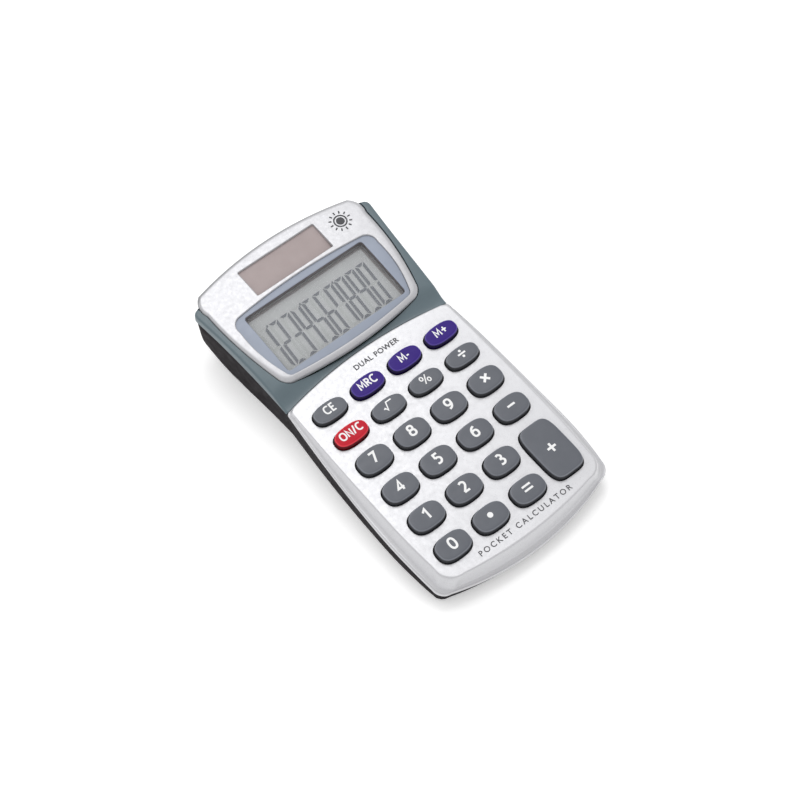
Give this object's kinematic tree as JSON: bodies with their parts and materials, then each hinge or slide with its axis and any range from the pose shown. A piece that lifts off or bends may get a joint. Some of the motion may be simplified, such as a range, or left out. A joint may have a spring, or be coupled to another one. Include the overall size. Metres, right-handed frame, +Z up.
{
  "type": "pocket calculator",
  "caption": "Handheld calculator with a raised display head, solar window, silver keypad plate and oval sprung keys.",
  "frame": {"origin": "middle of the footprint, on the surface the feet stand on", "axes": "+X to the user's right, +Y from the keypad to the display end, +Z up"},
  "size_m": [0.0644, 0.1195, 0.023],
  "materials": {
    "dark_plastic": "fine moulded texture",
    "slate_plastic": "satin, soft sheen",
    "silver_finish": "metallic silver lacquer over plastic, satin",
    "border_plastic": "printed blue-grey, satin",
    "clear_lens": "clear acrylic, polished",
    "display_glass": "liquid crystal cell with polariser",
    "reflector_film": "silvered film",
    "ribbon_film": "amber film with printed tracks",
    "solar_glass": "amorphous silicon behind glass",
    "lead_insulation": "extruded sleeve",
    "board_laminate": "solder mask",
    "black_plastic": "moulded",
    "capacitor_can": "sleeved can",
    "mat_rubber": "translucent silicone",
    "bright_steel": "plated",
    "foot_rubber": "soft matt",
    "grey_keys": "satin",
    "purple_keys": "satin",
    "red_key": "satin"
  },
  "bodies": {
    "case": {"rear_cover": "dark_plastic", "front_case": "slate_plastic", "keypad_plate": "silver_finish", "display_bezel": "silver_finish", "window_border": "border_plastic", "lcd_window": "clear_lens", "lcd_glass": "display_glass", "lcd_reflector": "reflector_film", "lcd_holder": "black_plastic", "lcd_ribbon": "ribbon_film", "solar_cell": "solar_glass", "solar_leads": "lead_insulation", "main_board": "board_laminate", "chip_cover": "black_plastic", "capacitor": "capacitor_can", "keypad_mat": "mat_rubber", "button_cell": "bright_steel", "battery_contact_negative": "bright_steel", "battery_contact_positive": "bright_steel", "battery_cover": "dark_plastic", "battery_cover_screw": "bright_steel", "case_screws": "bright_steel", "board_screws": "bright_steel", "rubber_feet": "foot_rubber"},
    "key_clear_entry": {"key_clear_entry": "grey_keys"},
    "key_memory_recall": {"key_memory_recall": "purple_keys"},
    "key_memory_minus": {"key_memory_minus": "purple_keys"},
    "key_memory_plus": {"key_memory_plus": "purple_keys"},
    "key_on_clear": {"key_on_clear": "red_key"},
    "key_root": {"key_root": "grey_keys"},
    "key_percent": {"key_percent": "grey_keys"},
    "key_divide": {"key_divide": "grey_keys"},
    "key_7": {"key_7": "grey_keys"},
    "key_8": {"key_8": "grey_keys"},
    "key_9": {"key_9": "grey_keys"},
    "key_times": {"key_times": "grey_keys"},
    "key_4": {"key_4": "grey_keys"},
    "key_5": {"key_5": "grey_keys"},
    "key_6": {"key_6": "grey_keys"},
    "key_minus": {"key_minus": "grey_keys"},
    "key_1": {"key_1": "grey_keys"},
    "key_2": {"key_2": "grey_keys"},
    "key_3": {"key_3": "grey_keys"},
    "key_0": {"key_0": "grey_keys"},
    "key_decimal": {"key_decimal": "grey_keys"},
    "key_equals": {"key_equals": "grey_keys"},
    "key_plus": {"key_plus": "grey_keys"}
  },
  "joints": [
    {"name": "press_clear_entry", "type": "slide", "parent": "case", "child": "key_clear_entry", "axis": [0, 0.0698, -0.9976], "range_m": [0, 0.0008], "stiffness_N_per_m": 300, "springref_m": -0.0004, "deforming": ["keypad_mat"]},
    {"name": "press_memory_recall", "type": "slide", "parent": "case", "child": "key_memory_recall", "axis": [0, 0.0698, -0.9976], "range_m": [0, 0.0008], "stiffness_N_per_m": 300, "springref_m": -0.0004, "deforming": ["keypad_mat"]},
    {"name": "press_memory_minus", "type": "slide", "parent": "case", "child": "key_memory_minus", "axis": [0, 0.0698, -0.9976], "range_m": [0, 0.0008], "stiffness_N_per_m": 300, "springref_m": -0.0004, "deforming": ["keypad_mat"]},
    {"name": "press_memory_plus", "type": "slide", "parent": "case", "child": "key_memory_plus", "axis": [0, 0.0698, -0.9976], "range_m": [0, 0.0008], "stiffness_N_per_m": 300, "springref_m": -0.0004, "deforming": ["keypad_mat"]},
    {"name": "press_on_clear", "type": "slide", "parent": "case", "child": "key_on_clear", "axis": [0, 0.0698, -0.9976], "range_m": [0, 0.0008], "stiffness_N_per_m": 300, "springref_m": -0.0004, "deforming": ["keypad_mat"]},
    {"name": "press_root", "type": "slide", "parent": "case", "child": "key_root", "axis": [0, 0.0698, -0.9976], "range_m": [0, 0.0008], "stiffness_N_per_m": 300, "springref_m": -0.0004, "deforming": ["keypad_mat"]},
    {"name": "press_percent", "type": "slide", "parent": "case", "child": "key_percent", "axis": [0, 0.0698, -0.9976], "range_m": [0, 0.0008], "stiffness_N_per_m": 300, "springref_m": -0.0004, "deforming": ["keypad_mat"]},
    {"name": "press_divide", "type": "slide", "parent": "case", "child": "key_divide", "axis": [0, 0.0698, -0.9976], "range_m": [0, 0.0008], "stiffness_N_per_m": 300, "springref_m": -0.0004, "deforming": ["keypad_mat"]},
    {"name": "press_7", "type": "slide", "parent": "case", "child": "key_7", "axis": [0, 0.0698, -0.9976], "range_m": [0, 0.0008], "stiffness_N_per_m": 300, "springref_m": -0.0004, "deforming": ["keypad_mat"]},
    {"name": "press_8", "type": "slide", "parent": "case", "child": "key_8", "axis": [0, 0.0698, -0.9976], "range_m": [0, 0.0008], "stiffness_N_per_m": 300, "springref_m": -0.0004, "deforming": ["keypad_mat"]},
    {"name": "press_9", "type": "slide", "parent": "case", "child": "key_9", "axis": [0, 0.0698, -0.9976], "range_m": [0, 0.0008], "stiffness_N_per_m": 300, "springref_m": -0.0004, "deforming": ["keypad_mat"]},
    {"name": "press_times", "type": "slide", "parent": "case", "child": "key_times", "axis": [0, 0.0698, -0.9976], "range_m": [0, 0.0008], "stiffness_N_per_m": 300, "springref_m": -0.0004, "deforming": ["keypad_mat"]},
    {"name": "press_4", "type": "slide", "parent": "case", "child": "key_4", "axis": [0, 0.0698, -0.9976], "range_m": [0, 0.0008], "stiffness_N_per_m": 300, "springref_m": -0.0004, "deforming": ["keypad_mat"]},
    {"name": "press_5", "type": "slide", "parent": "case", "child": "key_5", "axis": [0, 0.0698, -0.9976], "range_m": [0, 0.0008], "stiffness_N_per_m": 300, "springref_m": -0.0004, "deforming": ["keypad_mat"]},
    {"name": "press_6", "type": "slide", "parent": "case", "child": "key_6", "axis": [0, 0.0698, -0.9976], "range_m": [0, 0.0008], "stiffness_N_per_m": 300, "springref_m": -0.0004, "deforming": ["keypad_mat"]},
    {"name": "press_minus", "type": "slide", "parent": "case", "child": "key_minus", "axis": [0, 0.0698, -0.9976], "range_m": [0, 0.0008], "stiffness_N_per_m": 300, "springref_m": -0.0004, "deforming": ["keypad_mat"]},
    {"name": "press_1", "type": "slide", "parent": "case", "child": "key_1", "axis": [0, 0.0698, -0.9976], "range_m": [0, 0.0008], "stiffness_N_per_m": 300, "springref_m": -0.0004, "deforming": ["keypad_mat"]},
    {"name": "press_2", "type": "slide", "parent": "case", "child": "key_2", "axis": [0, 0.0698, -0.9976], "range_m": [0, 0.0008], "stiffness_N_per_m": 300, "springref_m": -0.0004, "deforming": ["keypad_mat"]},
    {"name": "press_3", "type": "slide", "parent": "case", "child": "key_3", "axis": [0, 0.0698, -0.9976], "range_m": [0, 0.0008], "stiffness_N_per_m": 300, "springref_m": -0.0004, "deforming": ["keypad_mat"]},
    {"name": "press_0", "type": "slide", "parent": "case", "child": "key_0", "axis": [0, 0.0698, -0.9976], "range_m": [0, 0.0008], "stiffness_N_per_m": 300, "springref_m": -0.0004, "deforming": ["keypad_mat"]},
    {"name": "press_decimal", "type": "slide", "parent": "case", "child": "key_decimal", "axis": [0, 0.0698, -0.9976], "range_m": [0, 0.0008], "stiffness_N_per_m": 300, "springref_m": -0.0004, "deforming": ["keypad_mat"]},
    {"name": "press_equals", "type": "slide", "parent": "case", "child": "key_equals", "axis": [0, 0.0698, -0.9976], "range_m": [0, 0.0008], "stiffness_N_per_m": 300, "springref_m": -0.0004, "deforming": ["keypad_mat"]},
    {"name": "press_plus", "type": "slide", "parent": "case", "child": "key_plus", "axis": [0, 0.0698, -0.9976], "range_m": [0, 0.0008], "stiffness_N_per_m": 300, "springref_m": -0.0004, "deforming": ["keypad_mat"]}
  ]
}
